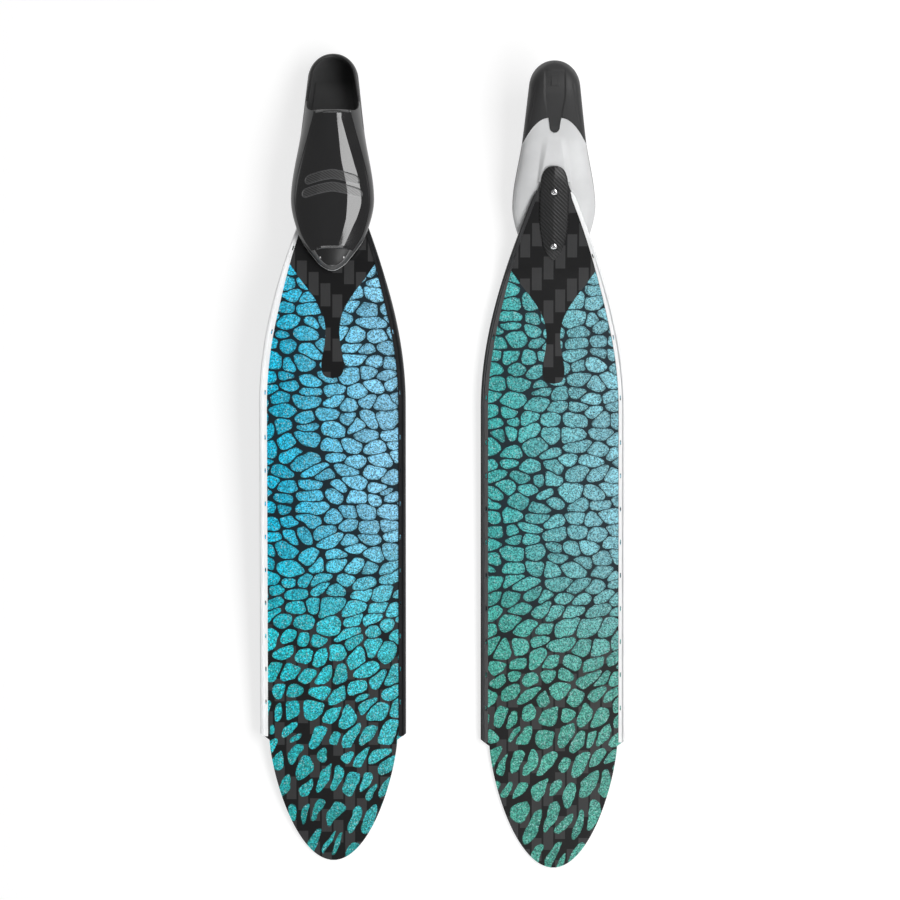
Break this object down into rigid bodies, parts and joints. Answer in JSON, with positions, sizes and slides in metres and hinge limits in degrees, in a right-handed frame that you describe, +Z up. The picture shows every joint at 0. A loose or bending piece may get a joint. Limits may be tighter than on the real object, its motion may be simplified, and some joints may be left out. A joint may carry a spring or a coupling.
{
  "type": "freediving fin pair",
  "caption": "Long-blade freediving fins: bent carbon blades with edge rails, screwed under closed-heel rubber foot pockets, a pair lying sole down and sole up.",
  "frame": {"origin": "centre of the floor under the pair, at the bottom of its bounding box", "axes": "+X from the fin lying sole down to the fin lying sole up, +Y from the blade tips to the heels, +Z up from the floor"},
  "size_m": [0.4862, 1.0834, 0.1281],
  "materials": {
    "printed_carbon": "gloss lacquer over a printed film and carbon weave",
    "white_rail": "satin white rubber",
    "black_rail": "satin black rubber",
    "gloss_upper": "gloss black rubber",
    "white_sole": "satin white rubber",
    "matte_heel": "matte grained black rubber",
    "toe_panel": "matte black rubber",
    "footbed": "matte charcoal footbed",
    "carbon_plate": "gloss carbon twill",
    "polished_steel": "polished stainless steel",
    "brass_insert": "turned brass"
  },
  "bodies": {
    "left_fin": {"left_blade": "printed_carbon", "left_white_rail": "white_rail", "left_black_rail": "black_rail", "left_upper": "gloss_upper", "left_outsole": "white_sole", "left_heel_cup": "matte_heel", "left_toe_cap": "toe_panel", "left_insole": "footbed", "left_fixing_plate": "carbon_plate", "left_front_insert": "brass_insert", "left_rear_insert": "brass_insert"},
    "right_fin": {"right_blade": "printed_carbon", "right_white_rail": "white_rail", "right_black_rail": "black_rail", "right_upper": "gloss_upper", "right_outsole": "white_sole", "right_heel_cup": "matte_heel", "right_toe_cap": "toe_panel", "right_insole": "footbed", "right_fixing_plate": "carbon_plate", "right_front_insert": "brass_insert", "right_rear_insert": "brass_insert"},
    "left_front_screw": {"left_front_screw": "polished_steel"},
    "left_rear_screw": {"left_rear_screw": "polished_steel"},
    "right_front_screw": {"right_front_screw": "polished_steel"},
    "right_rear_screw": {"right_rear_screw": "polished_steel"}
  },
  "joints": [
    {"name": "right_fin_lift", "type": "slide", "parent": "left_fin", "child": "right_fin", "axis": [0, 0, 1], "range_m": [0, 0.3]},
    {"name": "left_front_screw_turn", "type": "hinge", "parent": "left_fin", "child": "left_front_screw", "pos_m": [-0.1464, 0.29388, 0.06308], "axis": [0, 0.3106, 0.9505], "continuous": true},
    {"name": "left_rear_screw_turn", "type": "hinge", "parent": "left_fin", "child": "left_rear_screw", "pos_m": [-0.1464, 0.36782, 0.03825], "axis": [0, 0.3106, 0.9505], "continuous": true},
    {"name": "right_front_screw_turn", "type": "hinge", "parent": "right_fin", "child": "right_front_screw", "pos_m": [0.1464, 0.2854, 0.03872], "axis": [0, 0.4217, -0.9067], "continuous": true},
    {"name": "right_rear_screw_turn", "type": "hinge", "parent": "right_fin", "child": "right_rear_screw", "pos_m": [0.1464, 0.35586, 0.07219], "axis": [0, 0.4217, -0.9067], "continuous": true}
  ]
}
